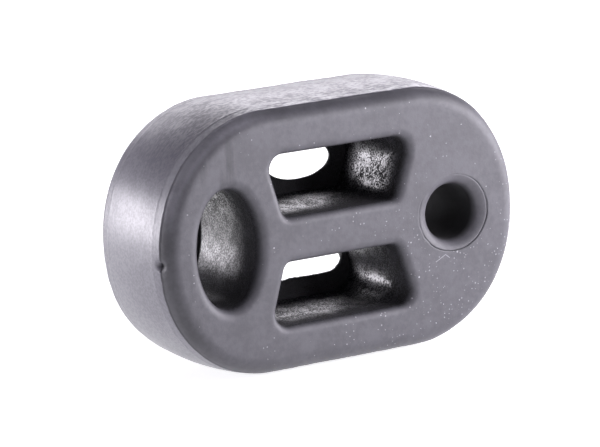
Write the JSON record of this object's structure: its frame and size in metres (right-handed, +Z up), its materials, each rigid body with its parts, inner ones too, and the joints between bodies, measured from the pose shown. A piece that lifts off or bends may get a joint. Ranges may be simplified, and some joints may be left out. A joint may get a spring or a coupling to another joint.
{
  "type": "exhaust hanger rubber",
  "caption": "Thick moulded rubber block with round ends, a pin bore, a tall eye and windows either side of a rib, for hanging an exhaust.",
  "frame": {"origin": "middle of the flat base, the lowest long side of the block", "axes": "+X towards the round pin bore, -Y out of the front face that the picture shows, +Z up through the two windows"},
  "size_m": [0.08, 0.025, 0.051],
  "materials": {
    "black_rubber": "smooth moulded faces with a soft sheen, matt grey bloom round the outer wall, rough inner walls"
  },
  "bodies": {
    "root": {"rubber_block": "black_rubber"}
  },
  "joints": []
}
